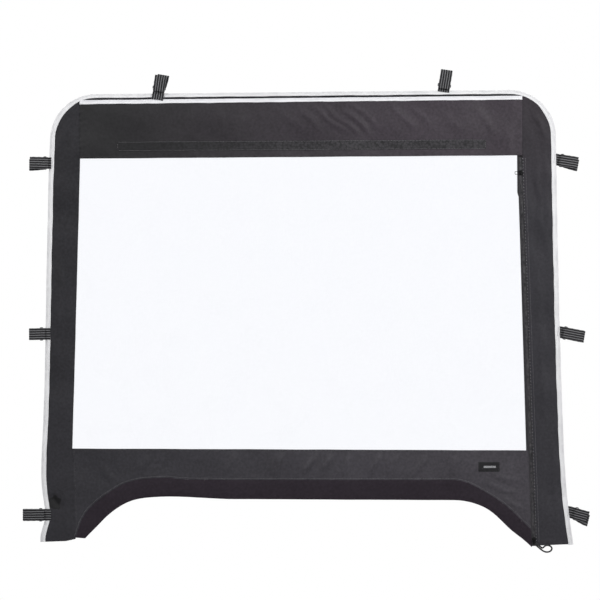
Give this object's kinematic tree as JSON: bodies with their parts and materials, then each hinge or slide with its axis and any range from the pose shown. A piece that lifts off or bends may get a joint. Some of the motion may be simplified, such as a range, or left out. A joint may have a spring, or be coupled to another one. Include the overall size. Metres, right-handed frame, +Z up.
{
  "type": "soft windshield screen",
  "caption": "Soft vehicle windshield screen: clear film window in a black fabric frame with light binding, a side zip, an arched hem and webbing straps with rings.",
  "frame": {"origin": "middle of the screen's bound top edge, which is pulled up under the roll cage's cross tube", "axes": "+X across the vehicle towards the zip side, +Y from the outer face towards the driver, +Z up"},
  "size_m": [1.5351, 0.0136, 1.3067],
  "materials": {
    "black_fabric": "coated woven polyester, matt",
    "hem_fabric": "soft brushed fabric, matt",
    "binding_tape": "woven binding tape",
    "clear_film": "clear flexible film, glossy",
    "webbing": "ribbed webbing",
    "ring_plastic": "moulded",
    "zipper_tape": "woven tape",
    "zipper_coil": "nylon coil",
    "slider_metal": "black enamel",
    "pull_metal": "black enamel",
    "cord": "braided cord",
    "sleeve_rubber": "matt",
    "hook_tape": "hook-and-loop tape",
    "label_cloth": "woven label"
  },
  "bodies": {
    "screen": {"left_side_panel": "black_fabric", "right_side_panel": "black_fabric", "header_backing": "black_fabric", "header_panel": "black_fabric", "header_binding": "binding_tape", "hook_strip": "hook_tape", "lower_panel": "black_fabric", "bonnet_hem": "hem_fabric", "window_film": "clear_film", "zip_facing": "black_fabric", "edge_binding": "binding_tape", "woven_label": "label_cloth", "zipper_tape_left": "zipper_tape", "zipper_tape_right": "zipper_tape", "zipper_coil_left": "zipper_coil", "zipper_coil_right": "zipper_coil", "zipper_top_stops": "slider_metal", "zipper_bottom_stops": "slider_metal", "strap_left_top_anchor": "webbing", "strap_left_middle_anchor": "webbing", "strap_left_bottom_anchor": "webbing", "strap_top_left_anchor": "webbing", "strap_top_right_anchor": "webbing", "strap_right_top_anchor": "webbing", "strap_right_middle_anchor": "webbing", "strap_right_bottom_anchor": "webbing"},
    "lower_slider": {"lower_slider": "slider_metal"},
    "lower_pull": {"lower_pull": "pull_metal", "pull_sleeve": "sleeve_rubber", "pull_cord": "cord"},
    "upper_slider": {"upper_slider": "slider_metal"},
    "upper_pull": {"upper_pull": "pull_metal"},
    "strap_left_top": {"strap_left_top_webbing": "webbing", "strap_left_top_ring": "ring_plastic"},
    "strap_left_middle": {"strap_left_middle_webbing": "webbing", "strap_left_middle_ring": "ring_plastic"},
    "strap_left_bottom": {"strap_left_bottom_webbing": "webbing", "strap_left_bottom_ring": "ring_plastic"},
    "strap_top_left": {"strap_top_left_webbing": "webbing", "strap_top_left_ring": "ring_plastic"},
    "strap_top_right": {"strap_top_right_webbing": "webbing", "strap_top_right_ring": "ring_plastic"},
    "strap_right_top": {"strap_right_top_webbing": "webbing", "strap_right_top_ring": "ring_plastic"},
    "strap_right_middle": {"strap_right_middle_webbing": "webbing", "strap_right_middle_ring": "ring_plastic"},
    "strap_right_bottom": {"strap_right_bottom_webbing": "webbing", "strap_right_bottom_ring": "ring_plastic"}
  },
  "joints": [
    {"name": "lower_slider_travel", "type": "slide", "parent": "screen", "child": "lower_slider", "axis": [-0.0357, 0, 0.9994], "range_m": [0, 0.46]},
    {"name": "lower_pull_swing", "type": "hinge", "parent": "lower_slider", "child": "lower_pull", "pos_m": [0.62359, -0.0032, -1.2075], "axis": [-0.9994, 0, -0.0357], "range_deg": [0, 150]},
    {"name": "upper_slider_travel", "type": "slide", "parent": "screen", "child": "upper_slider", "axis": [0.0357, 0, -0.9994], "range_m": [0, 0.46]},
    {"name": "upper_pull_swing", "type": "hinge", "parent": "upper_slider", "child": "upper_pull", "pos_m": [0.58824, -0.0032, -0.218], "axis": [-0.0357, 0, 0.9994], "range_deg": [0, 170]},
    {"name": "strap_left_top_fold", "type": "hinge", "parent": "screen", "child": "strap_left_top", "pos_m": [-0.6865, -0.0017, -0.192], "axis": [0, 0, 1], "range_deg": [-90, 90]},
    {"name": "strap_left_middle_fold", "type": "hinge", "parent": "screen", "child": "strap_left_middle", "pos_m": [-0.696, -0.0017, -0.653], "axis": [0, 0, 1], "range_deg": [-90, 90]},
    {"name": "strap_left_bottom_fold", "type": "hinge", "parent": "screen", "child": "strap_left_bottom", "pos_m": [-0.698, -0.0017, -1.141], "axis": [0, 0, 1], "range_deg": [-90, 90]},
    {"name": "strap_top_left_fold", "type": "hinge", "parent": "screen", "child": "strap_top_left", "pos_m": [-0.3895, -0.0039, 0.00084], "axis": [0.9848, 0, -0.1736], "range_deg": [-90, 90]},
    {"name": "strap_top_right_fold", "type": "hinge", "parent": "screen", "child": "strap_top_right", "pos_m": [0.38, -0.0017, 0.00791], "axis": [0.9903, 0, -0.1392], "range_deg": [-90, 90]},
    {"name": "strap_right_top_fold", "type": "hinge", "parent": "screen", "child": "strap_right_top", "pos_m": [0.68852, 0.0017, -0.183], "axis": [-0.1908, 0, -0.9816], "range_deg": [-90, 90]},
    {"name": "strap_right_middle_fold", "type": "hinge", "parent": "screen", "child": "strap_right_middle", "pos_m": [0.69791, 0.0017, -0.649], "axis": [-0.165, 0, -0.9863], "range_deg": [-90, 90]},
    {"name": "strap_right_bottom_fold", "type": "hinge", "parent": "screen", "child": "strap_right_bottom", "pos_m": [0.72722, 0.0017, -1.13622], "axis": [-0.2419, 0, -0.9703], "range_deg": [-90, 90]}
  ]
}
